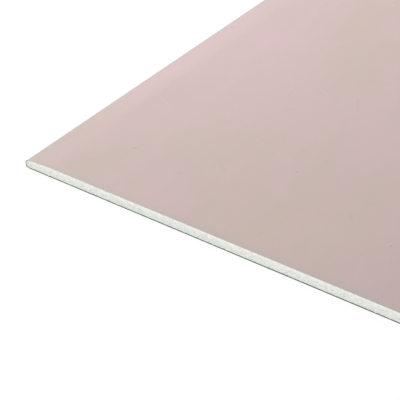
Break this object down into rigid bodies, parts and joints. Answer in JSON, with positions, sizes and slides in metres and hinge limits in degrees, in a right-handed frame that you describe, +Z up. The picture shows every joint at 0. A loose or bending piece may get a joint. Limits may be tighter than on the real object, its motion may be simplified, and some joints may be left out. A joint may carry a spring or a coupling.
{
  "type": "drywall sheet",
  "caption": "Flat gypsum board with a pink paper face that wraps tapered, rounded long edges, square-cut ends and a grey paper back, for lining walls and ceilings.",
  "frame": {"origin": "centre of the back face, which lies on the floor", "axes": "+X across the width between the long edges, +Y along the length between the cut ends, +Z up out of the pink face"},
  "size_m": [1.2, 2.5, 0.0125],
  "materials": {
    "gypsum": "matte",
    "face_paper": "matte",
    "back_paper": "matte"
  },
  "bodies": {
    "root": {"gypsum_core": "gypsum", "face_paper": "face_paper", "back_paper": "back_paper"}
  },
  "joints": []
}
